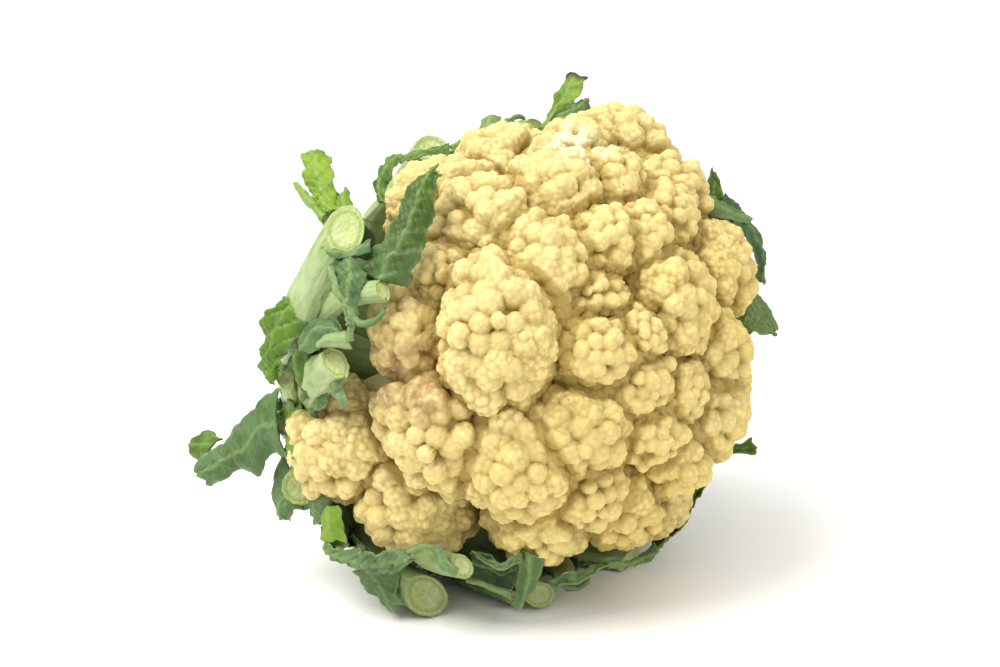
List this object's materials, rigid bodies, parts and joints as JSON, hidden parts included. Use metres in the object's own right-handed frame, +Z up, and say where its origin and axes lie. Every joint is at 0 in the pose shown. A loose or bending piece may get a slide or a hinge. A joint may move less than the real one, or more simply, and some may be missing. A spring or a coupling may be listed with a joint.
{
  "type": "cauliflower",
  "caption": "Trimmed cauliflower head lying on its cut leaf stalks: a domed curd of packed florets on a short stem, wrapped behind by cut leaf stubs and torn blades.",
  "frame": {"origin": "middle of the underside of the part's box, on the surface that the head lies on", "axes": "+Z up; the crown of the curd faces -Y, tilted 23 degrees up; +X to the right when looking along +Y"},
  "size_m": [0.182, 0.1504, 0.1627],
  "materials": {
    "curd": "matt, finely granular, creamy yellow with darker crevices",
    "stem": "smooth pale green-white skin with a moist fibrous cut face",
    "leaf": "waxy blue-green to bright yellow-green blades with pale veins and pale stalks"
  },
  "bodies": {
    "root": {"stem": "stem", "floret_crown": "curd", "floret_crown_left": "curd", "floret_far_lower": "curd", "floret_far_right": "curd", "floret_far_top": "curd", "floret_far_upper_right": "curd", "floret_left_bulge": "curd", "floret_left_inner_sunken": "curd", "floret_left_large": "curd", "floret_left_low_bulge": "curd", "floret_left_rim_browned": "curd", "floret_left_sunken": "curd", "floret_left_upper": "curd", "floret_lower_inner": "curd", "floret_lower_large": "curd", "floret_lower_left": "curd", "floret_lower_left_inner": "curd", "floret_lower_left_rim": "curd", "floret_lower_middle": "curd", "floret_lower_right": "curd", "floret_lower_right_inner": "curd", "floret_lower_right_middle": "curd", "floret_lower_rim": "curd", "floret_right_inner": "curd", "floret_right_lower": "curd", "floret_right_middle": "curd", "floret_right_upper": "curd", "floret_top_bump": "curd", "floret_top_front": "curd", "floret_top_left": "curd", "floret_top_left_rim": "curd", "floret_top_right": "curd", "floret_top_scraped": "curd", "floret_upper_front": "curd", "floret_upper_inner": "curd", "floret_upper_left_inner": "curd", "floret_upper_middle": "curd", "leaf_bottom_cupped": "leaf", "leaf_bottom_large_stub": "leaf", "leaf_bottom_resting": "leaf", "leaf_bottom_ribbon": "leaf", "leaf_bottom_small_stub": "leaf", "leaf_bottom_stub": "leaf", "leaf_far_stub": "leaf", "leaf_left_crinkled": "leaf", "leaf_left_flap": "leaf", "leaf_left_large_stub": "leaf", "leaf_left_long_blade": "leaf", "leaf_left_pale_stub": "leaf", "leaf_left_serrated": "leaf", "leaf_lower_left_flap": "leaf", "leaf_lower_left_stub": "leaf", "leaf_lower_left_wavy": "leaf", "leaf_right_low_resting": "leaf", "leaf_right_torn": "leaf", "leaf_right_upper_blade": "leaf", "leaf_top_bright_blade": "leaf", "leaf_top_left_stub": "leaf", "leaf_top_stub": "leaf"}
  },
  "joints": []
}
